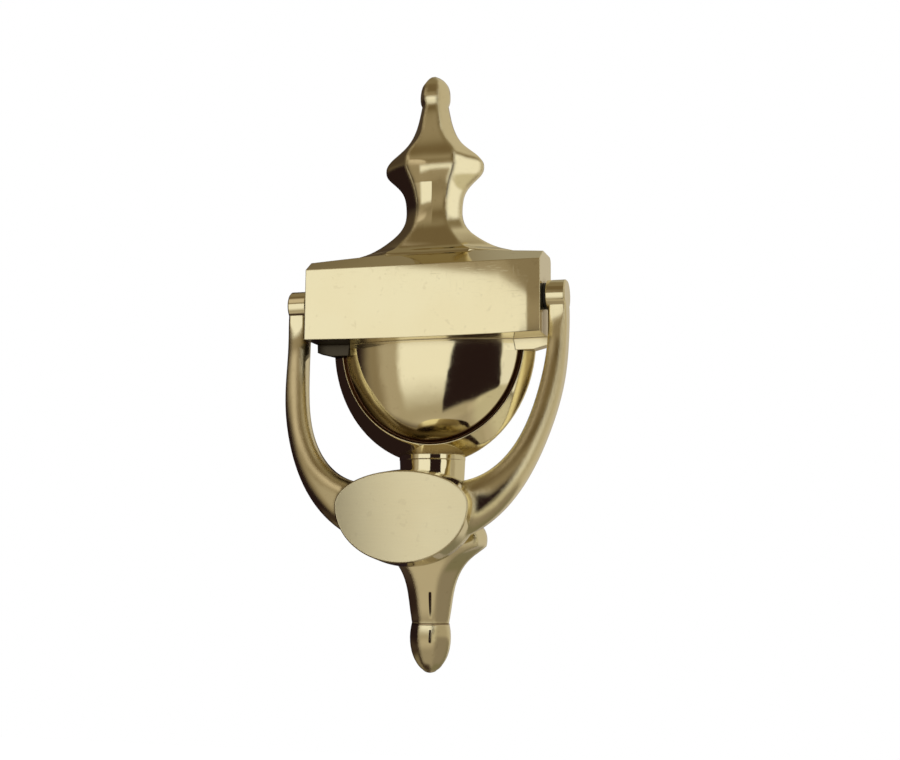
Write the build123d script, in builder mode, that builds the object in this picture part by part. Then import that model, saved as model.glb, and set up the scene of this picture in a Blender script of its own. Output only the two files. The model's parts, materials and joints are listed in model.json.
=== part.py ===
"""Cast brass urn door knocker: a hollow-backed plate and a swinging knocker arm.

Frame: the door's face is the plane Y = 0, the knocker's front looks along -Y, +Z is up and
+X is to the right of someone facing the door. Millimetres throughout.
"""

import os
from math import cos, radians, sin, sqrt, tan

from build123d import *

os.makedirs("parts", exist_ok=True)

# Head: the broad bar across the plate
HEAD_WIDTH = 77.8
HEAD_BOTTOM = 8.1
HEAD_SAG = 0.5
HEAD_FRONT_TOP = 31.0
HEAD_PROJECTION = 16.6
ROOF_SLOPE = 34.0
ROOF_CREST = 37.0
ROOF_SHOULDER_DROP = 0.9
ROOF_END_DROP = 2.7
ROOF_BACK_ROUND = 2.0
# Step under the head, leaning back as it comes down
STEP_DROP = 3.8
STEP_END_DROP = 2.6
STEP_ROOT_PROJECTION = 4.6
STEP_PROJECTION = 4.2

# Bowl: a half oval below the head, bevelled up to a crest, grooved inside it, then domed
BOWL_WIDTH = 68.3
BOWL_DROP = 39.6
BOWL_EDGE_WALL = 1.0
BEVEL_SIDE = 3.4
BEVEL_FOOT = 6.2
CREST_PROJECTION = 2.9
GROOVE_SIDE = 0.85
GROOVE_FOOT = 0.7
GROOVE_PROJECTION = 1.7
DOME_EDGE_PROJECTION = 3.9
DOME_RISE = 7.3
# Levels of the hollow behind the dome, as shares of its depth
DOME_HOLLOW_LEVELS = (0.0, 0.5, 0.85)

# Collar between the bowl and the strike plinth, with a thin bead round its top
COLLAR_WIDTH = 21.8
COLLAR_PROJECTION = 9.6
COLLAR_TAPER = 0.6
COLLAR_LAP = 2.7
BEAD_PROJECTION = 0.35
BEAD_HEIGHT = 1.6

# Casting
SIDE_WALL = 2.0
SHELL = 2.8
MOULDING_SHELL = 2.6
HOLLOW_LEAST_FLAT = 0.6
OVERLAP = 2.0

# Faceted mouldings: (height, half width, half of the front flat, projection), from top to bottom
TOP_TIP = 97.8
TOP_ACORN = [
    (97.0, 1.9, 0.9, 3.6),
    (95.4, 3.7, 1.8, 5.0),
    (92.4, 4.8, 2.4, 6.1),
    (89.6, 4.9, 2.4, 6.2),
    (87.6, 4.3, 2.1, 5.4),
]
TOP_CONE = [
    (87.6, 4.3, 2.1, 5.4),
    (84.2, 5.0, 2.5, 5.8),
    (79.3, 6.4, 3.1, 6.0),
    (75.6, 8.4, 4.5, 6.2),
    (73.3, 10.5, 6.3, 6.4),
    (70.3, 14.2, 7.9, 6.8),
    (66.8, 16.6, 8.1, 7.0),
]
NECK = [
    (66.8, 16.6, 8.1, 7.0),
    (64.2, 16.2, 7.2, 6.4),
    (61.6, 13.8, 6.2, 5.9),
    (58.0, 10.6, 5.3, 5.3),
    (53.0, 9.4, 4.7, 4.9),
    (48.0, 9.9, 5.2, 5.1),
    (44.4, 12.4, 6.6, 5.7),
    (42.4, 14.9, 8.0, 6.2),
    (40.1, 18.6, 9.8, 6.8),
    (38.3, 22.8, 12.0, 7.6),
    (36.9, 27.8, 14.0, 8.8),
    (34.6, 33.4, 15.6, 10.6),
]
PLINTH = [
    (-40.0, 10.8, 7.6, 8.6),
    (-46.5, 11.6, 8.6, 8.6),
    (-50.0, 15.0, 12.6, 8.6),
    (-53.0, 17.7, 16.2, 8.6),
    (-55.6, 18.3, 17.2, 8.6),
    (-57.8, 18.0, 17.0, 8.6),
]
LOWER_CONE = [
    (-57.8, 18.0, 17.0, 8.6),
    (-60.2, 14.8, 11.4, 8.0),
    (-63.4, 11.3, 7.2, 7.4),
    (-67.6, 8.8, 4.6, 6.9),
    (-73.6, 7.2, 3.1, 6.4),
    (-81.9, 5.9, 2.4, 5.4),
]
LOWER_ACORN = [
    (-81.9, 5.9, 2.4, 5.4),
    (-84.6, 6.4, 2.6, 6.0),
    (-88.4, 6.4, 2.6, 6.0),
    (-92.4, 5.4, 2.2, 5.4),
    (-95.6, 3.4, 1.4, 4.2),
    (-97.0, 1.7, 0.8, 3.0),
]
LOWER_TIP = -97.6

# Pivots: a pin in each end of the head, running in a blind eye in the arm
PIVOT_HEIGHT = 20.2
PIVOT_PROJECTION = 9.2
PIN_DIAMETER = 4.0
PIN_LENGTH = 15.0
PIN_SEAT_CLEARANCE = 0.02
PIN_RUNNING_CLEARANCE = 0.06
PIN_END_CLEARANCE = 0.3
PIN_END_CHAMFER = 0.5
PIN_BLOCK_LENGTH = 9.0
PIN_BLOCK_HEIGHT = 9.0
PIN_BLOCK_BACK = 3.4
WASHER_THICKNESS = 1.0
WASHER_DIAMETER = 8.4
WASHER_CLEARANCE = 0.1
LOCK_SCREW_DIAMETER = 3.0
LOCK_SCREW_LENGTH = 3.0
LOCK_SCREW_SOCKET = 1.5
LOCK_SCREW_CLEARANCE = 0.02

# Arm: barrels, limbs and the oval pad
BARREL_DIAMETER = 10.0
BARREL_LENGTH = 6.0
BARREL_CHAMFER = 0.4
EYE_DEPTH = 4.5
PAD_PROJECTION = 34.0
PAD_WIDTH = 42.0
PAD_RISE = 10.3
PAD_DROP = 17.4
PAD_DEPTH = 9.0
PAD_EDGE = 0.35
PAD_SPREAD = 1.0
# The pad's widest line and the swelling's middle, above the striker's
PAD_ABOVE_STRIKE = 5.5
SWELLING_ABOVE_STRIKE = 2.5
SWELLING_BEHIND_PAD = 8.6
# Limb stations from a barrel to the swelling behind the pad: shares of the arm's half span, of
# its drop and of its reach, then slope from vertical, width, thickness and corner radius
LIMB = [
    (1.0, 0.02, 0.0, 0.0, 5.4, 7.2, 1.2),
    (0.998, 0.167, 0.012, 2.0, 5.8, 7.4, 1.3),
    (0.98, 0.357, 0.185, 8.0, 6.4, 7.6, 1.8),
    (0.918, 0.561, 0.494, 17.0, 7.0, 7.8, 2.4),
    (0.8, 0.744, 0.728, 33.0, 8.4, 8.6, 3.2),
    (0.596, 0.898, 0.889, 56.0, 12.4, 10.4, 4.4),
    (0.321, 0.98, 0.975, 78.0, 17.6, 12.6, 5.6),
    (0.0, 1.0, 1.0, 90.0, 19.6, 13.4, 6.2),
]
# Two rounds of chamfers that follow a corner's radius: each cut as a share of the radius
CORNER_CUTS = (2 - sqrt(2), tan(radians(22.5)) - tan(radians(11.25)))

# Striker in the arm and anvil in the plinth
STRIKE_HEIGHT = -51.5
STRIKER_SHANK_DIAMETER = 5.0
STRIKER_SHANK_LENGTH = 5.0
STRIKER_HEAD_DIAMETER = 9.0
STRIKER_CHAMFER = 1.0
ANVIL_SHANK_DIAMETER = 4.0
ANVIL_SHANK_LENGTH = 4.0
ANVIL_HEAD_DIAMETER = 10.0
ANVIL_HEAD_HEIGHT = 2.4
ANVIL_CHAMFER = 0.8
ANVIL_BOSS_DIAMETER = 8.0
ANVIL_BOSS_LENGTH = 5.6
STRIKER_BOSS_DIAMETER = 10.4
STRIKER_BOSS_BACK = 17.6
STRIKER_BOSS_COVER = 4.0
STRIKE_GAP = 0.3
STUD_SEAT_CLEARANCE = 0.02

# Fixing bosses behind the plate, tapped for the bolts through the door
UPPER_FIXING_HEIGHT = 22.0
LOWER_FIXING_HEIGHT = -60.0
FIXING_HOLE_DIAMETER = 4.2
FIXING_BOSS_DIAMETER = 9.0
UPPER_FIXING_DEPTH = 12.0
LOWER_FIXING_DEPTH = 5.4
BOSS_RECESS = 0.6
BOSS_COVER = 1.0

# Worked out from the sizes above
HEAD_HALF = HEAD_WIDTH / 2
BOWL_HALF = BOWL_WIDTH / 2
ROOF_BACK = HEAD_PROJECTION - (ROOF_CREST - HEAD_FRONT_TOP) / tan(radians(ROOF_SLOPE))
STEP_BOTTOM = HEAD_BOTTOM - STEP_DROP
DOME_HALF = BOWL_HALF - BEVEL_SIDE - 2 * GROOVE_SIDE
DOME_DROP = BOWL_DROP - BEVEL_FOOT - 2 * GROOVE_FOOT
HOLLOW_HALF = DOME_HALF - SHELL
HOLLOW_DROP = DOME_DROP - SHELL
COLLAR_TOP = HEAD_BOTTOM - BOWL_DROP + COLLAR_LAP
COLLAR_FOOT = PLINTH[0][0] - OVERLAP
BARREL_START = HEAD_HALF + WASHER_THICKNESS + 2 * WASHER_CLEARANCE
PIN_END = BARREL_START + EYE_DEPTH - PIN_END_CLEARANCE
PIN_START = PIN_END - PIN_LENGTH
PIN_RADIUS = PIN_DIAMETER / 2
PIN_BLOCK_START = HEAD_HALF - PIN_BLOCK_LENGTH
LOCK_SCREW_SPAN = HEAD_HALF - PIN_BLOCK_LENGTH / 2
LOCK_SCREW_TIP = PIVOT_PROJECTION - PIN_RADIUS - LOCK_SCREW_CLEARANCE
PLINTH_PROJECTION = PLINTH[-1][3]
ANVIL_FACE = PLINTH_PROJECTION + ANVIL_HEAD_HEIGHT
STRIKER_FACE = ANVIL_FACE + STRIKE_GAP
PAD_HEIGHT = STRIKE_HEIGHT + PAD_ABOVE_STRIKE
ARM_HALF_SPAN = BARREL_START + BARREL_LENGTH - LIMB[0][4] / 2
ARM_DROP = PIVOT_HEIGHT - STRIKE_HEIGHT - SWELLING_ABOVE_STRIKE
ARM_REACH = PAD_PROJECTION - SWELLING_BEHIND_PAD - PIVOT_PROJECTION
FRONT = Plane.XZ


def across(span):
    """A plane square to the pivots' line, centred on it, at this distance to the right."""
    return Plane(origin=(span, -PIVOT_PROJECTION, PIVOT_HEIGHT), x_dir=(0, 1, 0), z_dir=(1, 0, 0))


def facing(height, projection, span=0.0):
    """A plane facing the front at this height and projection from the door."""
    return Plane(origin=(span, -projection, height), x_dir=(1, 0, 0), z_dir=(0, -1, 0))


def lower_half_oval(half_width, drop, height=0.0):
    """Half an oval hanging from a level line, as a sketch."""
    with BuildSketch() as outline:
        with BuildLine():
            curve = EllipticalCenterArc((0, height), half_width, drop, start_angle=180, arc_size=180)
            Line(curve @ 1, curve @ 0)
        make_face()
    return outline.sketch


def bowl_level(projection, side_inset=0.0, foot_inset=0.0):
    """The bowl's outline at this projection, drawn in at its sides and at its foot."""
    with BuildSketch(FRONT.offset(projection)) as level:
        add(lower_half_oval(BOWL_HALF - side_inset, BOWL_DROP - foot_inset, HEAD_BOTTOM))
    return level.sketch


def dome(half_width, rise, drop, base):
    """A shallow cap of a ball, stretched to the bowl's drop and cut level under the head."""
    radius = (half_width**2 + rise**2) / (2 * rise)
    ball = Pos(0, radius - rise, 0) * Sphere(radius, mode=Mode.PRIVATE)
    front = Box(2 * radius, rise, radius, align=(Align.CENTER, Align.MAX, Align.MAX), mode=Mode.PRIVATE)
    cap = scale(ball & front, by=(1, 1, drop / half_width), mode=Mode.PRIVATE)
    return Pos(0, -base, HEAD_BOTTOM) * cap


def moulding_level(height, half_width, face_half, projection, wall=SIDE_WALL):
    """One level of a faceted moulding: flat back, short side walls, two bevels, flat front."""
    with BuildSketch(Plane.XY.offset(height)) as level:
        Polygon(
            (-half_width, 0),
            (-half_width, -wall),
            (-face_half, -projection),
            (face_half, -projection),
            (half_width, -wall),
            (half_width, 0),
            align=None,
        )
    return level.sketch


def limb_level(side, span, drop, reach, slope, width, thickness, corner):
    """One section of the arm, square to the limb as seen from the front."""
    turn = radians(slope if side > 0 else 180 - slope)
    section_plane = Plane(
        origin=(
            side * span * ARM_HALF_SPAN,
            -PIVOT_PROJECTION - reach * ARM_REACH,
            PIVOT_HEIGHT - drop * ARM_DROP,
        ),
        x_dir=(cos(turn), 0, -sin(turn)),
        z_dir=(-sin(turn), 0, -cos(turn)),
    )
    with BuildSketch(section_plane) as level:
        Rectangle(width, thickness)
        for cut in CORNER_CUTS:
            chamfer(level.vertices(), corner * cut)
    return level.sketch


def hollow_level(height, half_width, face_half, projection):
    """The same level a shell's thickness smaller, open at the back."""
    return moulding_level(
        height,
        half_width - MOULDING_SHELL,
        max(face_half - MOULDING_SHELL / 2, HOLLOW_LEAST_FLAT),
        projection - MOULDING_SHELL,
        min(SIDE_WALL, projection - MOULDING_SHELL) / 2,
    )


def moulding(levels, tip=None):
    """A faceted moulding through its levels, closed to a point where it has a tip."""
    sections = [moulding_level(*level) for level in levels]
    if tip is not None:
        top = max(levels[0][0], levels[-1][0])
        point = Vertex(0, -levels[0][3] / 2 if tip > top else -levels[-1][3] / 2, tip)
        sections = [point, *sections] if tip > top else [*sections, point]
    return sections


with BuildPart() as urn_plate:
    # Head: end profile swept across, then trimmed to the plate's front outline
    with BuildSketch(Plane.YZ):
        Polygon(
            (0, STEP_BOTTOM),
            (-STEP_PROJECTION, STEP_BOTTOM),
            (-STEP_ROOT_PROJECTION, HEAD_BOTTOM - HEAD_SAG),
            (-HEAD_PROJECTION, HEAD_BOTTOM - HEAD_SAG),
            (-HEAD_PROJECTION, HEAD_FRONT_TOP),
            (-ROOF_BACK, ROOF_CREST),
            (0, ROOF_CREST),
            align=None,
        )
    extrude(amount=HEAD_HALF, both=True)
    with BuildSketch(FRONT):
        with BuildLine():
            roof_line = Spline(
                (-HEAD_HALF, ROOF_CREST - ROOF_END_DROP),
                (-HEAD_HALF / 2, ROOF_CREST - ROOF_SHOULDER_DROP),
                (0, ROOF_CREST),
                (HEAD_HALF / 2, ROOF_CREST - ROOF_SHOULDER_DROP),
                (HEAD_HALF, ROOF_CREST - ROOF_END_DROP),
            )
            Polyline(
                roof_line @ 1,
                (HEAD_HALF, HEAD_BOTTOM - STEP_END_DROP),
                (BOWL_HALF, STEP_BOTTOM),
                (-BOWL_HALF, STEP_BOTTOM),
                (-HEAD_HALF, HEAD_BOTTOM - STEP_END_DROP),
                roof_line @ 0,
            )
        make_face()
    extrude(amount=HEAD_PROJECTION, mode=Mode.INTERSECT)
    back_edges = urn_plate.edges().group_by(Axis.Y)[-1]
    fillet(back_edges.sort_by(Axis.Z)[-1], ROOF_BACK_ROUND)

    # The head's lower edge rises a little from its middle to its ends
    with BuildSketch(FRONT.offset(STEP_ROOT_PROJECTION)):
        with BuildLine():
            sag = ThreePointArc(
                (-HEAD_HALF, HEAD_BOTTOM),
                (0, HEAD_BOTTOM - HEAD_SAG),
                (HEAD_HALF, HEAD_BOTTOM),
            )
            Polyline(sag @ 1, (HEAD_HALF, STEP_BOTTOM), (-HEAD_HALF, STEP_BOTTOM), sag @ 0)
        make_face()
    extrude(amount=HEAD_PROJECTION - STEP_ROOT_PROJECTION, mode=Mode.SUBTRACT)

    # Bowl: a low wall, a bevel up to the crest, then a groove down to the foot of the dome
    crest = bowl_level(CREST_PROJECTION, BEVEL_SIDE, BEVEL_FOOT)
    groove = bowl_level(GROOVE_PROJECTION, BEVEL_SIDE + GROOVE_SIDE, BEVEL_FOOT + GROOVE_FOOT)
    dome_foot = bowl_level(DOME_EDGE_PROJECTION, BOWL_HALF - DOME_HALF, BOWL_DROP - DOME_DROP)
    extrude(bowl_level(0), amount=BOWL_EDGE_WALL)
    loft([bowl_level(BOWL_EDGE_WALL), crest])
    loft([crest, groove], mode=Mode.SUBTRACT)
    loft([groove, dome_foot])
    add(dome(DOME_HALF, DOME_RISE, DOME_DROP, DOME_EDGE_PROJECTION))

    # Collar
    with BuildSketch(Plane.XY.offset(COLLAR_FOOT)):
        add(lower_half_oval(COLLAR_WIDTH / 2 - COLLAR_TAPER, COLLAR_PROJECTION - COLLAR_TAPER))
    with BuildSketch(Plane.XY.offset(COLLAR_TOP)):
        add(lower_half_oval(COLLAR_WIDTH / 2, COLLAR_PROJECTION))
    loft()
    with BuildSketch(Plane.XY.offset(COLLAR_TOP)):
        add(lower_half_oval(COLLAR_WIDTH / 2, COLLAR_PROJECTION + BEAD_PROJECTION))
    extrude(amount=-BEAD_HEIGHT)

    # Neck, shoulder and acorn above, plinth and acorn below
    for levels, tip in (
        (TOP_ACORN, TOP_TIP),
        (TOP_CONE, None),
        (NECK, None),
        (PLINTH, None),
        (LOWER_CONE, None),
        (LOWER_ACORN, LOWER_TIP),
    ):
        loft(moulding(levels, tip))

    # Hollow back: head, dome and mouldings
    with BuildSketch(Plane.YZ):
        Polygon(
            (0, HEAD_BOTTOM + SHELL),
            (SHELL - HEAD_PROJECTION, HEAD_BOTTOM + SHELL),
            (SHELL - HEAD_PROJECTION, HEAD_FRONT_TOP - SHELL / 2),
            (SHELL - ROOF_BACK, ROOF_CREST - SHELL),
            (0, ROOF_CREST - SHELL),
            align=None,
        )
    extrude(amount=HEAD_HALF - SHELL, both=True, mode=Mode.SUBTRACT)
    for share in DOME_HOLLOW_LEVELS:
        taper = sqrt(1 - share**2)
        with BuildSketch(FRONT.offset(share * (DOME_EDGE_PROJECTION + DOME_RISE - SHELL))):
            add(lower_half_oval(taper * HOLLOW_HALF, taper * HOLLOW_DROP, HEAD_BOTTOM))
    loft(ruled=True, mode=Mode.SUBTRACT)
    for levels in (TOP_CONE[2:], NECK[:-1], PLINTH, LOWER_CONE[:4]):
        loft([hollow_level(*level) for level in levels], ruled=True, mode=Mode.SUBTRACT)

    # Bosses for the pins, the fixings and the anvil
    for side in (-1, 1):
        with BuildSketch(facing(PIVOT_HEIGHT, PIN_BLOCK_BACK)):
            with Locations((side * (PIN_BLOCK_START + HEAD_HALF) / 2, 0)):
                Rectangle(PIN_BLOCK_LENGTH, PIN_BLOCK_HEIGHT)
        extrude(amount=HEAD_PROJECTION - PIN_BLOCK_BACK)
    for height, projection in (
        (UPPER_FIXING_HEIGHT, HEAD_PROJECTION),
        (LOWER_FIXING_HEIGHT, LOWER_CONE[1][3]),
    ):
        with BuildSketch(facing(height, BOSS_RECESS)):
            Circle(FIXING_BOSS_DIAMETER / 2)
        extrude(amount=projection - BOSS_RECESS - BOSS_COVER)
    with BuildSketch(facing(STRIKE_HEIGHT, PLINTH_PROJECTION)):
        Circle(ANVIL_BOSS_DIAMETER / 2)
    extrude(amount=-ANVIL_BOSS_LENGTH)

    # Holes: pins, lock screws, fixings and the anvil's shank
    for side in (-1, 1):
        with BuildSketch(across(side * (HEAD_HALF + OVERLAP))):
            Circle(PIN_RADIUS + PIN_SEAT_CLEARANCE)
        extrude(amount=-side * (PIN_BLOCK_LENGTH + 2 * OVERLAP), mode=Mode.SUBTRACT)
        with BuildSketch(facing(PIVOT_HEIGHT, 0, side * LOCK_SCREW_SPAN)):
            Circle(LOCK_SCREW_DIAMETER / 2 + LOCK_SCREW_CLEARANCE)
        extrude(amount=PIVOT_PROJECTION, mode=Mode.SUBTRACT)
    for height, depth in (
        (UPPER_FIXING_HEIGHT, UPPER_FIXING_DEPTH),
        (LOWER_FIXING_HEIGHT, LOWER_FIXING_DEPTH),
    ):
        with BuildSketch(facing(height, BOSS_RECESS)):
            Circle(FIXING_HOLE_DIAMETER / 2)
        extrude(amount=depth, mode=Mode.SUBTRACT)
    with BuildSketch(facing(STRIKE_HEIGHT, PLINTH_PROJECTION)):
        Circle(ANVIL_SHANK_DIAMETER / 2 + STUD_SEAT_CLEARANCE)
    extrude(amount=-ANVIL_SHANK_LENGTH - STUD_SEAT_CLEARANCE, mode=Mode.SUBTRACT)
    split(bisect_by=FRONT, keep=Keep.TOP)

with BuildPart() as knocker_arm:
    # Barrels, softened at their outer ends
    for side in (-1, 1):
        with BuildSketch(across(side * BARREL_START)):
            Circle(BARREL_DIAMETER / 2)
        extrude(amount=side * BARREL_LENGTH)
    barrel_rims = knocker_arm.edges().group_by(Axis.X)
    chamfer([*barrel_rims[0], *barrel_rims[-1]], BARREL_CHAMFER)

    # Both limbs and the swelling behind the pad, from the right barrel round to the left
    stations = [limb_level(1, *station) for station in LIMB]
    stations += [limb_level(-1, *station) for station in reversed(LIMB[:-1])]
    loft(stations)

    # Oval pad: a thin chamfer round its face, spreading slightly towards its root
    for projection, spread in (
        (PAD_PROJECTION, -PAD_EDGE),
        (PAD_PROJECTION - PAD_EDGE, 0),
        (PAD_PROJECTION - PAD_DEPTH, PAD_SPREAD),
    ):
        with BuildSketch(facing(PAD_HEIGHT, projection)):
            half_pad = PAD_WIDTH / 2 + spread
            with BuildLine():
                EllipticalCenterArc((0, 0), half_pad, PAD_RISE + spread, start_angle=0, arc_size=180)
                EllipticalCenterArc((0, 0), half_pad, PAD_DROP + spread, start_angle=180, arc_size=180)
            make_face()
    loft(ruled=True)

    # Seat for the striker, and the barrels' blind eyes for the pins
    with BuildSketch(facing(STRIKE_HEIGHT, STRIKER_BOSS_BACK)):
        Circle(STRIKER_BOSS_DIAMETER / 2)
    extrude(amount=PAD_PROJECTION - STRIKER_BOSS_BACK - STRIKER_BOSS_COVER)
    with BuildSketch(facing(STRIKE_HEIGHT, STRIKER_BOSS_BACK)):
        Circle(STRIKER_SHANK_DIAMETER / 2 + STUD_SEAT_CLEARANCE)
    extrude(amount=STRIKER_SHANK_LENGTH + STUD_SEAT_CLEARANCE, mode=Mode.SUBTRACT)
    for side in (-1, 1):
        with BuildSketch(across(side * BARREL_START)):
            Circle(PIN_RADIUS + PIN_RUNNING_CLEARANCE)
        extrude(amount=side * EYE_DEPTH, mode=Mode.SUBTRACT)

with BuildPart() as striker_stud:
    with BuildSketch(facing(STRIKE_HEIGHT, STRIKER_FACE)):
        Circle(STRIKER_HEAD_DIAMETER / 2)
    extrude(amount=STRIKER_BOSS_BACK - STRIKER_FACE)
    with BuildSketch(facing(STRIKE_HEIGHT, STRIKER_BOSS_BACK)):
        Circle(STRIKER_SHANK_DIAMETER / 2)
    extrude(amount=STRIKER_SHANK_LENGTH)
    nose = striker_stud.faces().sort_by(Axis.Y)[-1]
    chamfer(nose.edges(), STRIKER_CHAMFER)

with BuildPart() as anvil_stud:
    with BuildSketch(facing(STRIKE_HEIGHT, PLINTH_PROJECTION)):
        Circle(ANVIL_HEAD_DIAMETER / 2)
    extrude(amount=ANVIL_HEAD_HEIGHT)
    with BuildSketch(facing(STRIKE_HEIGHT, PLINTH_PROJECTION)):
        Circle(ANVIL_SHANK_DIAMETER / 2)
    extrude(amount=-ANVIL_SHANK_LENGTH)
    crown = anvil_stud.faces().sort_by(Axis.Y)[0]
    chamfer(crown.edges(), ANVIL_CHAMFER)

export = {
    "urn_plate": urn_plate.part,
    "knocker_arm": knocker_arm.part,
    "striker_stud": striker_stud.part,
    "anvil_stud": anvil_stud.part,
}

for side, hand in ((-1, "left"), (1, "right")):
    with BuildPart() as pivot_pin:
        with BuildSketch(across(side * PIN_START)):
            Circle(PIN_RADIUS)
        extrude(amount=side * PIN_LENGTH)
        chamfer(pivot_pin.edges(), PIN_END_CHAMFER)
    with BuildPart() as pivot_washer:
        with BuildSketch(across(side * (HEAD_HALF + WASHER_CLEARANCE))):
            Circle(WASHER_DIAMETER / 2)
            Circle(PIN_RADIUS + WASHER_CLEARANCE, mode=Mode.SUBTRACT)
        extrude(amount=side * WASHER_THICKNESS)
    with BuildPart() as lock_screw:
        with BuildSketch(facing(PIVOT_HEIGHT, LOCK_SCREW_TIP, side * LOCK_SCREW_SPAN)):
            Circle(LOCK_SCREW_DIAMETER / 2)
        extrude(amount=-LOCK_SCREW_LENGTH)
        with BuildSketch(facing(PIVOT_HEIGHT, LOCK_SCREW_TIP - LOCK_SCREW_LENGTH, side * LOCK_SCREW_SPAN)):
            RegularPolygon(LOCK_SCREW_SOCKET / 2, 6, major_radius=False)
        extrude(amount=LOCK_SCREW_SOCKET, mode=Mode.SUBTRACT)
    export["pivot_pin_" + hand] = pivot_pin.part
    export["pivot_washer_" + hand] = pivot_washer.part
    export["pin_lock_screw_" + hand] = lock_screw.part

for name, piece in export.items():
    piece.label = name
    export_step(piece, f"parts/{name}.step")
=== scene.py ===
"""Polished brass urn door knocker: its finishes, its lighting tent and the camera. Metres.

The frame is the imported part's own: the door's face is Y = 0, the knocker looks along -Y,
+Z is up. Bodies: "plate" stays on the door, "arm" swings on the two pivot pins.
"""

import json
import math

import bpy
from mathutils import Matrix, Vector

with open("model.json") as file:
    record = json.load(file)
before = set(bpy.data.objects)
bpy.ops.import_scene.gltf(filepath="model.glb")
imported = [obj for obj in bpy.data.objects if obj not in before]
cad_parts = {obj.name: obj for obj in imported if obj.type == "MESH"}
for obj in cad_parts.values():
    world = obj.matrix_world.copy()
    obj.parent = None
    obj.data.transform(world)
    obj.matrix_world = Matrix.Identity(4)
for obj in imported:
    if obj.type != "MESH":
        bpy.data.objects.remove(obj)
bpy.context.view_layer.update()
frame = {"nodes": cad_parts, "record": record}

MM = 0.001

# Camera: turned to the knocker's right, a little below it
CAMERA_TURN = 15.9
CAMERA_LIFT = -7.5
CAMERA_ROLL = 0.46
CAMERA_DISTANCE = 0.4543
CAMERA_AIM = Vector((5.5, 0.0, -4.2)) * MM
CAMERA_LENS = 55.96

# Studio
FLOOR_HEIGHT = -0.32
FLOOR_HALF = 1.4
FLOOR_GLOW = 0.75
WORLD_FILL = 0.55
TENT_RADIUS = 0.45
TENT_ROWS = 24
TENT_COLUMNS = 72
CREAM = (0.95, 0.94, 0.93)
SHADE = (0.020, 0.011, 0.012)
UMBER = (0.045, 0.028, 0.020)
TAN = (0.50, 0.44, 0.36)
DULL_TAN = (0.42, 0.37, 0.29)
BRONZE = (0.26, 0.21, 0.145)
TENT_WALL = (0.34, 0.295, 0.235)

# Soft-edged patches of the tent, later ones over earlier: left and right edge in degrees of turn,
# bottom and top edge in degrees of lift, colour. An edge is (place, blur) or (place, blur, lean);
# the lean moves it by that share of the other angle. They are fitted to what the polish should
# mirror, so they are busier than plain soft light. The parts of a room are only labels.
TENT_PATCHES = (
    # Ceiling: brown overhead, pale behind
    ((-400, 10), (400, 10), (22, 16), (95, 10), (0.24, 0.195, 0.125)),
    ((-70, 20), (10, 20), (36, 8), (64, 10), (0.17, 0.125, 0.07)),
    ((-70, 20), (40, 20), (8, 4), (34, 10), (0.33, 0.275, 0.20)),
    ((150, 20), (400, 10), (34, 12), (95, 10), (0.36, 0.33, 0.27)),
    ((-400, 10), (-158, 10), (34, 12), (95, 10), (0.36, 0.33, 0.27)),
    # Lamp shade high on the left and the dark curtain beside it
    ((-47, 7), (-26, 6), (23, 5), (50, 14), (0.62, 0.54, 0.45)),
    ((-6, 12), (38, 8), (24, 4), (37, 6), (0.12, 0.085, 0.045)),
    # Black left wall with a brown head and an umber foot
    ((-152, 12), (-78, 20), (10, 20), (50, 10), (0.07, 0.05, 0.035)),
    ((-172, 8), (-56, 12), (-30, 10), (24, 14), SHADE),
    ((-165, 12), (-40, 14), (-95, 10), (-26, 10), UMBER),
    # Pale right wall, duller at its near end and at its foot
    ((66, 14), (400, 10), (-33, 10), (75, 20), (0.56, 0.51, 0.43)),
    ((70, 8), (88, 10), (-36, 8), (26, 12), DULL_TAN),
    ((76, 16), (400, 10), (-95, 10), (-31, 6), (0.21, 0.19, 0.13)),
    ((56, 6), (112, 16), (-80, 10), (-30, 8), (0.27, 0.23, 0.185)),
    # Brown floor behind on the left
    ((-150, 10), (-108, 8), (-62, 10), (-33, 6), (0.20, 0.165, 0.105)),
    # Tan sill and reveal of the window
    ((-50, 6), (36, 8), (-44, 8), (-26, 6), TAN),
    ((-60, 12), (-26, 8), (-31, 8), (14, 3), BRONZE),
    ((-49, 9), (-26, 8), (-31, 8), (14, 3), (0.44, 0.385, 0.31)),
    # The window, dimmer towards its sill
    ((-35, 6), (9.3, 1.5), (-29, 7), (13.96, 0.5, -0.09), CREAM),
    ((-40, 6), (12, 2), (-34, 7), (-20, 24), DULL_TAN),
    # The dark stand in front of its right, the strip of window past it, and the sill at its foot
    ((70.8, 2, -4.7), (34, 6), (12.4, 0.8), (24, 10), BRONZE),
    ((2.0, 1.6, 0.28), (34.6, 2), (-29.5, 3, 0.30), (9.7, 2.5), SHADE),
    ((35, 1.5), (54, 4), (-29, 4), (45, 10), CREAM),
    ((17, 8), (60, 6), (-38, 6), (-33.8, 2, 0.5), (0.62, 0.58, 0.47)),
)

# Finishes, as linear colours
BRASS = (0.87, 0.785, 0.50)
BRASS_DEEP = (0.83, 0.71, 0.41)
BRASS_DULL = (0.36, 0.27, 0.15)
BRASS_CAST = (0.46, 0.33, 0.16)
BRASS_CAST_DARK = (0.22, 0.15, 0.075)
# Painted dark reflection under the bar's left end
PAINTED_DARK_REFLECTION = (0.020, 0.013, 0.010)
GROOVE_BROWN = (0.20, 0.095, 0.045)
# Painted reflection at the dome's foot
DOME_FOOT_PAINTED_REFLECTION = (0.09, 0.048, 0.020)
STEEL = (0.56, 0.56, 0.57)
STEEL_DULL = (0.36, 0.355, 0.35)
NYLON = (0.018, 0.018, 0.020)
NYLON_WORN = (0.045, 0.045, 0.048)

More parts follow.
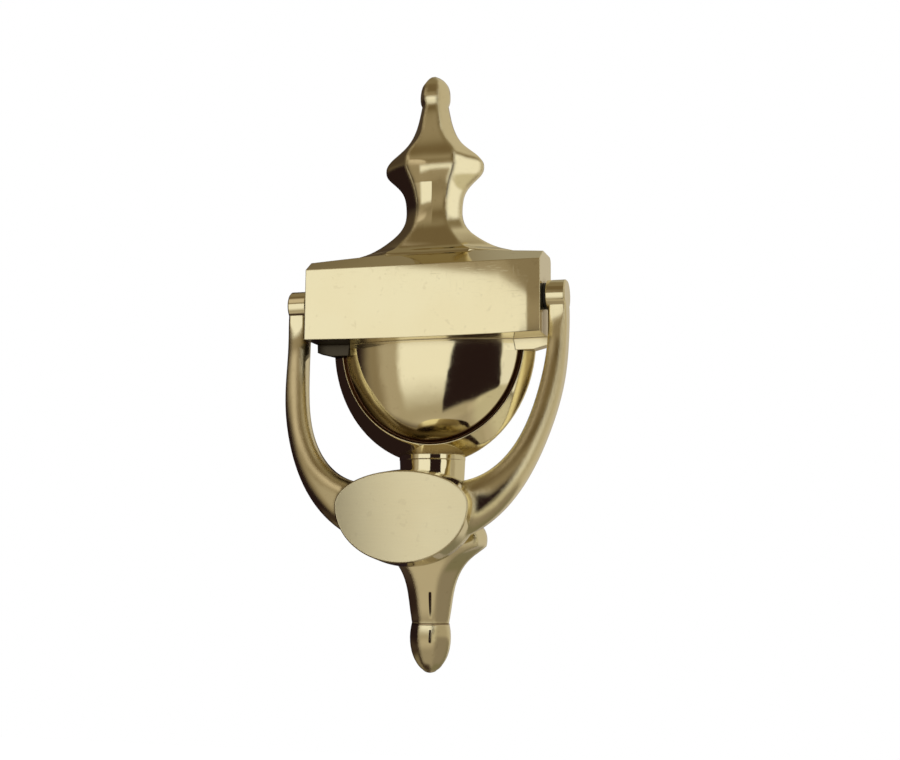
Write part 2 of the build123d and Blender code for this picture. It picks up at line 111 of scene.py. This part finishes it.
# Places on the knocker, in its own frame. A pair is where an effect starts and where it is full;
# a "near" triple is a middle, where the effect has gone, and where it is still full.
UPPER_MOULDING = (37.0 * MM, 41.0 * MM)
LOWER_MOULDING = (-39.0 * MM, -43.0 * MM)
PLATE_EDGE = (0.4 * MM, 2.2 * MM)
BEHIND_PAD_RIM = (-33.2 * MM, -28.2 * MM)
BELOW_BARREL = (15.0 * MM, 10.0 * MM)
ARM_EDGE = (0.35 * MM, 3.6 * MM)

# The cast hollow behind the head
BACK_DEPTH = -13.7 * MM
BACK_HALF = 36.2 * MM
BACK_BOTTOM = 10.8 * MM
BACK_TOP = 34.4 * MM
LEVEL_FACE = 0.02
CAST_ROUGH = 0.45

# The bar, and the painted dark reflection under its left end
BAR_FRONT = -16.5 * MM
BAR_FALL_START = 25.5 * MM
BAR_FALL = 17.0
STEP_FRONT = -4.75 * MM
STEP_MIDDLE = 6.2 * MM
STEP_REACH = 2.4 * MM
LOOKS_DOWN = -0.7
DARK_REFLECTION_SIDES = (-17.0 * MM, -23.0 * MM)
DARK_REFLECTION_SHARE = 0.94
DARK_REFLECTION_ROUGH = 0.25

# The bowl: a half oval, measured as shares of its crest
CREST_HALF = 30.75 * MM
CREST_DROP = 33.4 * MM
CREST_TOP = 8.1 * MM
STEP_FOOT = 4.2 * MM
BOWL_FOOT = -33.6 * MM
BOWL_FRONT = -1.2 * MM
GROOVE_INSIDE = (0.940, 0.956)
GROOVE_OUTSIDE = (1.004, 0.992)
GROOVE_SHARE = 0.85
GROOVE_ROUGH = 0.10
DOME_FOOT_INSIDE = (0.79, 0.86)
DOME_FOOT_OUTSIDE = (0.965, 0.945)
DOME_FOOT_SIDES = (20 * MM, -8 * MM, 0.10, 0.80)
BEVEL_START = (1.0, 1.03)
BEVEL_ROLL = (-2 * MM, -9 * MM, 0.0, -0.42)

# The neck and the lower moulding
NECK_BOTTOM = (46.0 * MM, 51.0 * MM)
NECK_TOP = (69.0 * MM, 67.0 * MM)
NECK_FRONT = (0.30, 0.15)
NECK_ROUNDING = (-5.2 * MM, 0.1 * MM, -0.24, 0.0)
NECK_RIGHT = (0.0, 0.5 * MM)
NECK_UPPER = (60.1 * MM, 61.3 * MM)
NECK_RISE = 0.135
LOWER_HANG = -0.18
STREAK_ACROSS = (1.35 * MM, 0.65 * MM, 0.25 * MM)
STREAK_ON_STEM = (-76.3 * MM, 4.6 * MM, 3.4 * MM)
STREAK_ON_DROP = (-86.0 * MM, 2.6 * MM, 1.6 * MM)
STREAK_LEAN = 0.22
DROP_LINE = (-82.3 * MM, 0.42 * MM, 0.18 * MM)
DROP_LINE_SHARE = 0.85
DROP_LINE_DEPTH = 0.12 * MM

# The oval pad
OVAL_FACE = -33.97 * MM
OVAL_FALL = 8.0
OVAL_FALL_START = 9.0 * MM
OVAL_BRUSHING = (160.0, 900.0, 1500.0)
OVAL_ROUGH = (0.30, 0.34)
OVAL_BRUSHING_DEPTH = 0.0003 * MM

# Where narrow facets of the arm count as one skin
WELD_REACH = 0.001 * MM
REAL_EDGE = 32.0


def direction(turn, lift):
    """A unit vector, turned from the front (-Y) towards +X and lifted, in degrees."""
    turn, lift = math.radians(turn), math.radians(lift)
    return Vector((math.sin(turn) * math.cos(lift), -math.cos(turn) * math.cos(lift), math.sin(lift)))


# ---------------------------------------------------------------- node helpers

class Nodes:
    """Short-hand for building one node tree."""

    def __init__(self, tree):
        self.tree = tree

    def add(self, kind, values=None, **settings):
        node = self.tree.nodes.new(kind)
        for name, value in settings.items():
            setattr(node, name, value)
        for socket, value in (values or {}).items():
            self.feed(node, socket, value)
        return node

    def feed(self, node, socket, value):
        if isinstance(value, bpy.types.NodeSocket):
            self.tree.links.new(value, node.inputs[socket])
        else:
            node.inputs[socket].default_value = value

    def group(self, tree, values):
        """An effect's outputs, with its own values for this surface."""
        node = self.add("ShaderNodeGroup", node_tree=tree)
        for socket, value in values.items():
            self.feed(node, socket, value)
        return node.outputs

    def math(self, operation, first, second=0.0):
        return self.add("ShaderNodeMath", {0: first, 1: second}, operation=operation).outputs[0]

    def times(self, first, *others):
        for other in others:
            first = self.math("MULTIPLY", first, other)
        return first

    def plus(self, first, *others):
        for other in others:
            first = self.math("ADD", first, other)
        return first

    def under(self, value, limit):
        return self.math("LESS_THAN", value, limit)

    def over(self, value, limit):
        return self.math("GREATER_THAN", value, limit)

    def most(self, first, second):
        return self.math("MAXIMUM", first, second)

    def near(self, value, middle, gone, full):
        """1 within full of the middle, 0 beyond gone from it."""
        return self.span(self.math("ABSOLUTE", self.math("SUBTRACT", value, middle)), gone, full)

    def vector(self, operation, first, second=(0.0, 0.0, 0.0)):
        return self.add("ShaderNodeVectorMath", {0: first, 1: second}, operation=operation).outputs[0]

    def span(self, value, low, high, new_low=0.0, new_high=1.0, smooth=True):
        """Maps low..high to new_low..new_high, held at its ends."""
        node = self.add(
            "ShaderNodeMapRange",
            {"Value": value, "From Min": low, "From Max": high, "To Min": new_low, "To Max": new_high},
            interpolation_type="SMOOTHSTEP" if smooth else "LINEAR",
        )
        return node.outputs["Result"]

    def mix(self, factor, first, second):
        node = self.add("ShaderNodeMix", data_type="RGBA")
        for socket, value in ((0, factor), (6, first), (7, second)):
            if not isinstance(value, (bpy.types.NodeSocket, float, int)):
                value = (*value, 1.0)
            self.feed(node, socket, value)
        return node.outputs[2]

    def noise(self, place, scale, detail=2.0, roughness=0.5):
        node = self.add(
            "ShaderNodeTexNoise",
            {"Vector": place, "Scale": scale, "Detail": detail, "Roughness": roughness},
        )
        return node.outputs["Fac"]

    def place(self):
        """The point on the piece, in the knocker's own frame."""
        return self.add("ShaderNodeTexCoord").outputs["Object"]

    def split(self, vector):
        return self.add("ShaderNodeSeparateXYZ", {0: vector}).outputs

    def bump(self, height, normal):
        """The normal of a surface with this height, in metres, on it."""
        values = {"Strength": 1.0, "Distance": 1.0, "Height": height, "Normal": normal}
        return self.add("ShaderNodeBump", values).outputs["Normal"]


def new_group(name, inputs, outputs):
    """A shader node group with number inputs; outputs map a name to its socket type."""
    group = bpy.data.node_groups.new(name, "ShaderNodeTree")
    for label in inputs:
        group.interface.new_socket(label, in_out="INPUT", socket_type="NodeSocketFloat")
    for label, kind in outputs.items():
        group.interface.new_socket(label, in_out="OUTPUT", socket_type=kind)
    nodes = Nodes(group)
    return group, nodes, nodes.add("NodeGroupInput").outputs


def new_material(name):
    material = bpy.data.materials.new(name)
    material.use_nodes = True
    material.node_tree.nodes.clear()
    return material, Nodes(material.node_tree)


def finish_material(nodes, shader):
    nodes.add("ShaderNodeOutputMaterial", {"Surface": shader.outputs[0]})


# ---------------------------------------------------------------- shared surface effects

def polish_group():
    """Gentle unevenness left by hand polishing, with fine hairlines along and across."""
    group, nodes, given = new_group(
        "hand_polish",
        ("Wave Length", "Wave Depth", "Hairline Depth"),
        {"Height": "NodeSocketFloat", "Hairlines": "NodeSocketFloat"},
    )
    place = nodes.place()
    waves = nodes.noise(place, nodes.math("DIVIDE", 1.0, given["Wave Length"]), detail=1.0)
    ripples = nodes.noise(place, nodes.math("DIVIDE", 3.1, given["Wave Length"]), detail=1.0)
    height = nodes.times(nodes.plus(waves, nodes.times(ripples, 0.16)), given["Wave Depth"])
    drawn = nodes.vector("MULTIPLY", place, (240.0, 2400.0, 2400.0))
    crossed = nodes.vector("MULTIPLY", place, (2600.0, 2600.0, 200.0))
    lines = nodes.span(nodes.noise(drawn, 1.0, detail=1.0), 0.60, 0.74)
    lines = nodes.most(lines, nodes.span(nodes.noise(crossed, 1.0, detail=1.0), 0.64, 0.76))
    height = nodes.math("SUBTRACT", height, nodes.times(lines, given["Hairline Depth"]))
    nodes.add("NodeGroupOutput", {"Height": height, "Hairlines": lines})
    return group


def tone_group():
    """Slow drift of tone over a surface and, apart from it, small freckles."""
    group, nodes, given = new_group(
        "metal_tone",
        ("Patch Size", "Freckle Size"),
        {"Drift": "NodeSocketFloat", "Freckles": "NodeSocketFloat"},
    )
    place = nodes.place()
    drift = nodes.noise(place, nodes.math("DIVIDE", 1.0, given["Patch Size"]), detail=3.0)
    freckles = nodes.noise(place, nodes.math("DIVIDE", 1.0, given["Freckle Size"]), detail=1.0)
    nodes.add(
        "NodeGroupOutput",
        {"Drift": nodes.span(drift, 0.35, 0.65), "Freckles": nodes.span(freckles, 0.66, 0.76)},
    )
    return group


def crease_dull_and_shade_group():
    """Ambient occlusion where two faces meet closely: dull metal that the wheel does not reach, and painted
    shade.
    """
    group, nodes, given = new_group("crease_dull_and_shade", ("Reach",), {"Mask": "NodeSocketFloat"})
    shade = nodes.add("ShaderNodeAmbientOcclusion", {"Distance": given["Reach"]}, samples=6)
    nodes.add("NodeGroupOutput", {"Mask": nodes.span(shade.outputs["AO"], 0.72, 0.38)})
    return group


def soft_edge_group():
    """Edges rounded off by the polishing wheel."""
    group, nodes, given = new_group("soft_edge", ("Radius",), {"Normal": "NodeSocketVector"})
    bevel = nodes.add("ShaderNodeBevel", {"Radius": given["Radius"]}, samples=6)
    nodes.add("NodeGroupOutput", {"Normal": bevel.outputs["Normal"]})
    return group


def grain_group():
    """Fine even roughness of a cast or moulded skin."""
    group, nodes, given = new_group(
        "skin_grain",
        ("Grain Size", "Depth"),
        {"Height": "NodeSocketFloat", "Pits": "NodeSocketFloat"},
    )
    scale = nodes.math("DIVIDE", 1.0, given["Grain Size"])
    grain = nodes.noise(nodes.place(), scale, detail=4.0, roughness=0.65)
    nodes.add(
        "NodeGroupOutput",
        {"Height": nodes.times(grain, given["Depth"]), "Pits": nodes.span(grain, 0.52, 0.30)},
    )
    return group


HAND_POLISH = polish_group()
METAL_TONE = tone_group()
CREASE_DULL_AND_SHADE = crease_dull_and_shade_group()
SOFT_EDGE = soft_edge_group()
SKIN_GRAIN = grain_group()


# ---------------------------------------------------------------- brass

class Skin:
    """One brass surface as it is built up. Its leans tilt the shading only, as slopes."""

    def __init__(self, nodes, colour, rough, height):
        self.nodes = nodes
        self.colour, self.rough, self.height = colour, rough, height
        self.sideways, self.upwards = [], []
        coordinates = nodes.add("ShaderNodeTexCoord")
        self.at = nodes.split(coordinates.outputs["Object"])
        self.facing = nodes.split(coordinates.outputs["Normal"])

    # Mixes a colour in over a mask: real stains, and also painted shade and reflections.
    def stain_and_shade(self, mask, share, colour, rough):
        self.colour = self.nodes.mix(self.nodes.times(mask, share), self.colour, colour)
        self.rough = self.nodes.plus(self.rough, self.nodes.times(mask, rough))

    def lean(self):
        sideways = self.nodes.plus(*self.sideways) if self.sideways else 0.0
        upwards = self.nodes.plus(*self.upwards) if self.upwards else 0.0
        return self.nodes.add("ShaderNodeCombineXYZ", {"X": sideways, "Z": upwards}).outputs[0]


def brass(name, wave_depth, edge_radius, skin_effects=()):
    """Polished brass. Edge radius makes the rounding of edges from the place; each skin effect takes the
    skin and adds what one casting alone has: stains, painted reflections and leaned shading."""
    material, nodes = new_material(name)
    polish = nodes.group(
        HAND_POLISH,
        {"Wave Length": 26 * MM, "Wave Depth": wave_depth, "Hairline Depth": 0.0003 * MM},
    )
    tone = nodes.group(METAL_TONE, {"Patch Size": 30 * MM, "Freckle Size": 2.2 * MM})
    crease_dull_and_shade = nodes.group(CREASE_DULL_AND_SHADE, {"Reach": 5.0 * MM})["Mask"]
    edge = nodes.group(SOFT_EDGE, {"Radius": edge_radius(nodes)})["Normal"]

    colour = nodes.mix(nodes.times(tone["Drift"], 0.30), BRASS, BRASS_DEEP)
    colour = nodes.mix(nodes.times(tone["Freckles"], 0.10), colour, BRASS_DULL)
    rough = nodes.span(polish["Hairlines"], 0.0, 1.0, 0.045, 0.085, smooth=False)
    skin = Skin(nodes, colour, nodes.plus(rough, nodes.times(tone["Drift"], 0.02)), polish["Height"])
    # Dull metal and painted shade in the creases
    skin.stain_and_shade(crease_dull_and_shade, 0.65, BRASS_DULL, 0.22)
    for effect in skin_effects:
        effect(skin)
    normal = nodes.vector("NORMALIZE", nodes.vector("ADD", edge, skin.lean()))
    shader = nodes.add(
        "ShaderNodeBsdfPrincipled",
        {
            "Base Color": skin.colour,
            "Metallic": 1.0,
            "Roughness": skin.rough,
            "Normal": nodes.bump(skin.height, normal),
        },
    )
    finish_material(nodes, shader)
    return material


def even_edges(nodes):
    """The small parts have the same slight rounding all over."""
    return 0.30 * MM


def plate_edges(nodes):
    """The faceted mouldings are buffed rounder than the head and the bowl."""
    height = nodes.split(nodes.place())["Z"]
    moulding = nodes.most(nodes.span(height, *UPPER_MOULDING), nodes.span(height, *LOWER_MOULDING))
    return nodes.span(moulding, 0.0, 1.0, *PLATE_EDGE, smooth=False)


def arm_edges(nodes):
    """The limbs are buffed rounder than the barrels and the rim of the oval pad."""
    at = nodes.split(nodes.place())
    limb = nodes.times(nodes.span(at["Y"], *BEHIND_PAD_RIM), nodes.span(at["Z"], *BELOW_BARREL))
    return nodes.span(limb, 0.0, 1.0, *ARM_EDGE, smooth=False)


def cast_back(skin):
    """Inside the head's hollow, and on all that looks towards the door, the metal is as cast."""
    nodes, at, facing = skin.nodes, skin.at, skin.facing
    inside = nodes.times(
        nodes.under(nodes.math("ABSOLUTE", at["X"]), BACK_HALF),
        nodes.over(at["Y"], BACK_DEPTH),
        nodes.over(at["Z"], BACK_BOTTOM),
        nodes.under(at["Z"], BACK_TOP),
        nodes.under(nodes.math("ABSOLUTE", facing["Y"]), LEVEL_FACE),
    )
    cast = nodes.most(inside, nodes.over(facing["Y"], LEVEL_FACE))
    grain = nodes.group(SKIN_GRAIN, {"Grain Size": 1.1 * MM, "Depth": 0.16 * MM})
    skin.stain_and_shade(cast, 1.0, nodes.mix(grain["Pits"], BRASS_CAST, BRASS_CAST_DARK), CAST_ROUGH)
    skin.height = nodes.plus(skin.height, nodes.times(cast, grain["Height"]))


def painted_reflection_under_bar(skin):
    """A near-black painted reflection under the left end of the bar. That it is old
    polish is a guess.
    """
    nodes, at = skin.nodes, skin.at
    from_step = nodes.math("ABSOLUTE", nodes.math("SUBTRACT", at["Z"], STEP_MIDDLE))
    hidden = nodes.most(nodes.over(at["Y"], STEP_FRONT), nodes.under(skin.facing["Z"], LOOKS_DOWN))
    left = nodes.span(at["X"], *DARK_REFLECTION_SIDES)
    dark_reflection = nodes.times(nodes.under(from_step, STEP_REACH), hidden, left)
    skin.stain_and_shade(dark_reflection, DARK_REFLECTION_SHARE, PAINTED_DARK_REFLECTION, DARK_REFLECTION_ROUGH)


def bar_fall(skin):
    """Leans the shading of the bar's flat front, more and more towards its right end."""
    nodes, at = skin.nodes, skin.at
    past = nodes.most(nodes.math("SUBTRACT", at["X"], BAR_FALL_START), 0.0)
    skin.sideways.append(nodes.times(past, BAR_FALL, nodes.under(at["Y"], BAR_FRONT)))


def bowl_brown_and_painted_reflection(skin):
    """Brown in the groove, a guess, and a painted reflection at the dome's foot. Leans the bevel's shading
    on its left.
    """
    nodes, at = skin.nodes, skin.at
    across = nodes.math("DIVIDE", at["X"], CREST_HALF)
    down = nodes.math("DIVIDE", nodes.math("SUBTRACT", at["Z"], CREST_TOP), CREST_DROP)
    ring = nodes.math("SQRT", nodes.plus(nodes.times(across, across), nodes.times(down, down)))
    below_step = nodes.under(at["Z"], STEP_FOOT)
    front = nodes.times(below_step, nodes.under(at["Y"], BOWL_FRONT))

    groove = nodes.times(nodes.span(ring, *GROOVE_INSIDE), nodes.span(ring, *GROOVE_OUTSIDE), front)
    skin.stain_and_shade(groove, GROOVE_SHARE, GROOVE_BROWN, GROOVE_ROUGH)
    # Painted reflection: brown at the dome's foot, stronger on its left
    foot = nodes.times(nodes.span(ring, *DOME_FOOT_INSIDE), nodes.span(ring, *DOME_FOOT_OUTSIDE), front)
    foot = nodes.times(foot, nodes.span(at["X"], *DOME_FOOT_SIDES))
    skin.colour = nodes.mix(foot, skin.colour, DOME_FOOT_PAINTED_REFLECTION)

    bevel = nodes.times(nodes.span(ring, *BEVEL_START), below_step, nodes.over(at["Z"], BOWL_FOOT))
    skin.sideways.append(nodes.times(bevel, nodes.span(at["X"], *BEVEL_ROLL)))


def neck_wear(skin):
    """Leans the shading of the neck's front sideways on its left, and upwards at its top and right."""
    nodes, at = skin.nodes, skin.at
    front = nodes.times(
        nodes.span(at["Z"], *NECK_BOTTOM),
        nodes.span(at["Z"], *NECK_TOP),
        nodes.span(nodes.math("ABSOLUTE", skin.facing["X"]), *NECK_FRONT),
    )
    skin.sideways.append(nodes.times(nodes.span(at["X"], *NECK_ROUNDING, smooth=False), front))
    risen = nodes.most(nodes.span(at["X"], *NECK_RIGHT), nodes.span(at["Z"], *NECK_UPPER))
    skin.upwards.append(nodes.times(risen, front, NECK_RISE))


def lower_moulding_wear(skin):
    """Leans the shading of the faces a little towards the floor, save at two streaks on the front
    edge. The fine line where the drop begins is colour and a bump: the solid has none."""
    nodes, at = skin.nodes, skin.at
    moulding = nodes.times(nodes.span(at["Z"], *LOWER_MOULDING), nodes.under(skin.facing["Y"], -LEVEL_FACE))
    streak = nodes.most(nodes.near(at["Z"], *STREAK_ON_STEM), nodes.near(at["Z"], *STREAK_ON_DROP))
    streak = nodes.times(streak, nodes.near(at["X"], *STREAK_ACROSS))
    skin.sideways.append(nodes.times(streak, moulding, STREAK_LEAN))
    hang = nodes.span(streak, 0.0, 1.0, LOWER_HANG, 0.0, smooth=False)
    skin.upwards.append(nodes.times(hang, moulding))

    line = nodes.near(at["Z"], *DROP_LINE)
    skin.colour = nodes.mix(nodes.times(line, DROP_LINE_SHARE), skin.colour, BRASS_DULL)
    skin.height = nodes.math("SUBTRACT", skin.height, nodes.times(line, DROP_LINE_DEPTH))


def oval_satin(skin):
    """The oval pad's face is finely brushed to a satin, not buffed. Its shading leans on its left."""
    nodes, at = skin.nodes, skin.at
    face = nodes.under(at["Y"], OVAL_FACE)
    rest = nodes.math("SUBTRACT", 1.0, face)
    drawn = nodes.vector("MULTIPLY", nodes.place(), OVAL_BRUSHING)
    brushing = nodes.noise(drawn, 1.0, detail=3.0, roughness=0.6)
    satin = nodes.span(brushing, 0.3, 0.7, *OVAL_ROUGH, smooth=False)
    skin.rough = nodes.plus(nodes.times(skin.rough, rest), nodes.times(satin, face))
    dull = nodes.times(face, nodes.span(brushing, 0.35, 0.7, 0.05, 0.0))
    skin.colour = nodes.mix(dull, skin.colour, BRASS_DULL)
    brushed = nodes.times(brushing, OVAL_BRUSHING_DEPTH, face)
    skin.height = nodes.plus(nodes.times(skin.height, rest), brushed)
    fallen = nodes.most(nodes.math("SUBTRACT", OVAL_FALL_START, at["X"]), 0.0)
    skin.sideways.append(nodes.times(fallen, OVAL_FALL, face))


# ---------------------------------------------------------------- steel and nylon

def turned_steel():
    """Bright steel with fine rings left by the lathe."""
    material, nodes = new_material("turned_steel")
    tone = nodes.group(METAL_TONE, {"Patch Size": 3 * MM, "Freckle Size": 0.5 * MM})
    edge = nodes.group(SOFT_EDGE, {"Radius": 0.15 * MM})["Normal"]
    turned = nodes.noise(nodes.vector("MULTIPLY", nodes.place(), (9000.0, 500.0, 500.0)), 1.0)
    colour = nodes.mix(nodes.times(tone["Drift"], 0.5), STEEL, STEEL_DULL)
    colour = nodes.mix(nodes.times(tone["Freckles"], 0.4), colour, STEEL_DULL)
    shader = nodes.add(
        "ShaderNodeBsdfPrincipled",
        {
            "Base Color": colour,
            "Metallic": 1.0,
            "Roughness": nodes.span(turned, 0.3, 0.7, 0.22, 0.40, smooth=False),
            "Normal": nodes.bump(nodes.times(turned, 0.003 * MM), edge),
        },
    )
    finish_material(nodes, shader)
    return material


def black_nylon():
    """Moulded nylon, a little worn in its pits."""
    material, nodes = new_material("black_nylon")
    grain = nodes.group(SKIN_GRAIN, {"Grain Size": 0.25 * MM, "Depth": 0.012 * MM})
    edge = nodes.group(SOFT_EDGE, {"Radius": 0.12 * MM})["Normal"]
    shader = nodes.add(
        "ShaderNodeBsdfPrincipled",
        {
            "Base Color": nodes.mix(grain["Pits"], NYLON, NYLON_WORN),
            "Roughness": nodes.span(grain["Pits"], 0.0, 1.0, 0.45, 0.62, smooth=False),
            "Normal": nodes.bump(grain["Height"], edge),
        },
    )
    finish_material(nodes, shader)
    return material


# ---------------------------------------------------------------- studio

def link(obj):
    bpy.context.scene.collection.objects.link(obj)
    return obj


def seen_directly(nodes):
    """1 for what the camera sees itself, in polish or through glass."""
    path = nodes.add("ShaderNodeLightPath").outputs
    seen = nodes.most(path["Is Camera Ray"], path["Is Glossy Ray"])
    return nodes.most(seen, path["Is Transmission Ray"])


def white_world():
    world = bpy.data.worlds.new("white_room")
    bpy.context.scene.world = world
    world.use_nodes = True
    world.node_tree.nodes.clear()
    nodes = Nodes(world.node_tree)
    strength = nodes.span(seen_directly(nodes), 0.0, 1.0, WORLD_FILL, 1.0, smooth=False)
    background = nodes.add("ShaderNodeBackground", {"Color": (1.0, 1.0, 1.0, 1.0), "Strength": strength})
    nodes.add("ShaderNodeOutputWorld", {"Surface": background.outputs[0]})


def patch_group():
    """Mask of a soft-edged patch of the tent, by turn and lift in degrees."""
    sides = ("Left", "Right", "Bottom", "Top")
    names = ["Turn", "Lift"] + [side + part for side in sides for part in ("", " Lean", " Blur")]
    group, nodes, given = new_group("tent_patch", names, {"Mask": "NodeSocketFloat"})
    masks = []
    for side, along, across, sign in (
        ("Left", "Turn", "Lift", 1.0),
        ("Right", "Turn", "Lift", -1.0),
        ("Bottom", "Lift", "Turn", 1.0),
        ("Top", "Lift", "Turn", -1.0),
    ):
        limit = nodes.plus(given[side], nodes.times(given[across], given[side + " Lean"]))
        distance = nodes.times(nodes.math("SUBTRACT", given[along], limit), sign)
        share = nodes.math("DIVIDE", distance, given[side + " Blur"])
        masks.append(nodes.span(share, -0.5, 0.5))
    nodes.add("NodeGroupOutput", {"Mask": nodes.times(*masks)})
    return group


def studio_tent():
    """The lit tent round the knocker, seen only in its polish and as its light."""
    points = [
        direction(360 * column / TENT_COLUMNS, -90 + 180 * row / TENT_ROWS) * TENT_RADIUS
        for row in range(TENT_ROWS + 1)
        for column in range(TENT_COLUMNS)
    ]
    faces = []
    for row in range(TENT_ROWS):
        for column in range(TENT_COLUMNS):
            first = row * TENT_COLUMNS + column
            second = row * TENT_COLUMNS + (column + 1) % TENT_COLUMNS
            faces.append((first, second, second + TENT_COLUMNS, first + TENT_COLUMNS))
    mesh = bpy.data.meshes.new("studio_tent")
    mesh.from_pydata(points, [], faces)
    tent = link(bpy.data.objects.new("studio_tent", mesh))

    material, nodes = new_material("studio_tent")
    position = nodes.add("ShaderNodeNewGeometry").outputs["Position"]
    aim = nodes.split(nodes.vector("NORMALIZE", position))
    turn = nodes.math("DEGREES", nodes.math("ARCTAN2", aim["X"], nodes.times(aim["Y"], -1.0)))
    lift = nodes.math("DEGREES", nodes.math("ARCSINE", aim["Z"]))
    group = patch_group()
    colour = TENT_WALL
    for *edges, patch_colour in TENT_PATCHES:
        values = {"Turn": turn, "Lift": lift}
        for side, (limit, blur, *lean) in zip(("Left", "Right", "Bottom", "Top"), edges):
            values[side] = limit
            values[side + " Blur"] = blur
            values[side + " Lean"] = lean[0] if lean else 0.0
        colour = nodes.mix(nodes.group(group, values)["Mask"], colour, patch_colour)
    finish_material(nodes, nodes.add("ShaderNodeEmission", {"Color": colour, "Strength": 1.0}))
    mesh.materials.append(material)
    tent.visible_camera = False
    tent.visible_shadow = False


def floor():
    """Pale floor under the knocker: white to the eye, still darkened where the knocker shades it."""
    mesh = bpy.data.meshes.new("studio_floor")
    corners = [(-1, -1), (1, -1), (1, 1), (-1, 1)]
    points = [(x * FLOOR_HALF, y * FLOOR_HALF, FLOOR_HEIGHT) for x, y in corners]
    mesh.from_pydata(points, [], [(0, 1, 2, 3)])
    obj = bpy.data.objects.new("studio_floor", mesh)
    material, nodes = new_material("studio_floor")
    shader = nodes.add(
        "ShaderNodeBsdfPrincipled",
        {
            "Base Color": (0.9, 0.9, 0.9, 1.0),
            "Roughness": 0.9,
            "Emission Color": (1.0, 1.0, 1.0, 1.0),
            "Emission Strength": nodes.times(seen_directly(nodes), FLOOR_GLOW),
        },
    )
    finish_material(nodes, shader)
    mesh.materials.append(material)
    obj.visible_glossy = False
    link(obj)


def camera():
    data = bpy.data.cameras.new("studio_camera")
    data.lens = CAMERA_LENS
    data.sensor_width = 36.0
    data.clip_start = 0.01
    obj = bpy.data.objects.new("studio_camera", data)
    back = direction(CAMERA_TURN, CAMERA_LIFT)
    turn = math.radians(CAMERA_TURN)
    level = Vector((math.cos(turn), math.sin(turn), 0.0))
    basis = Matrix((level, back.cross(level), back)).transposed().to_4x4()
    roll = Matrix.Rotation(math.radians(CAMERA_ROLL), 4, "Z")
    obj.matrix_world = Matrix.Translation(CAMERA_AIM + back * CAMERA_DISTANCE) @ basis @ roll
    bpy.context.scene.camera = link(obj)


# ---------------------------------------------------------------- the knocker

def ease_facets(node):
    """Joins the limb's narrow facets into one smooth skin, keeping its real edges."""
    weld = node.modifiers.new("joined_facets", "WELD")
    weld.merge_threshold = WELD_REACH
    split = node.modifiers.new("real_edges", "EDGE_SPLIT")
    split.split_angle = math.radians(REAL_EDGE)
    node.modifiers.new("even_shading", "WEIGHTED_NORMAL")


def dress_knocker():
    """Gives each piece its finish: the two castings their own, the rest by their record slot."""
    finishes = {
        "polished_brass": brass("polished_brass", 0.012 * MM, even_edges),
        "steel": turned_steel(),
        "black_nylon": black_nylon(),
    }
    plate_effects = (cast_back, painted_reflection_under_bar, bowl_brown_and_painted_reflection, bar_fall, neck_wear, lower_moulding_wear)
    castings = {
        "urn_plate": brass("plate_brass", 0.020 * MM, plate_edges, plate_effects),
        "knocker_arm": brass("arm_brass", 0.016 * MM, arm_edges, (oval_satin,)),
    }
    slots = {part["node"]: part["material_slot"] for part in frame["record"]["subparts"]}
    for name, node in frame["nodes"].items():
        node.data.materials.clear()
        node.data.materials.append(castings.get(name) or finishes[slots[name]])


white_world()
studio_tent()
floor()
camera()
ease_facets(frame["nodes"]["knocker_arm"])
dress_knocker()

bpy.context.scene.view_settings.view_transform = "Standard"
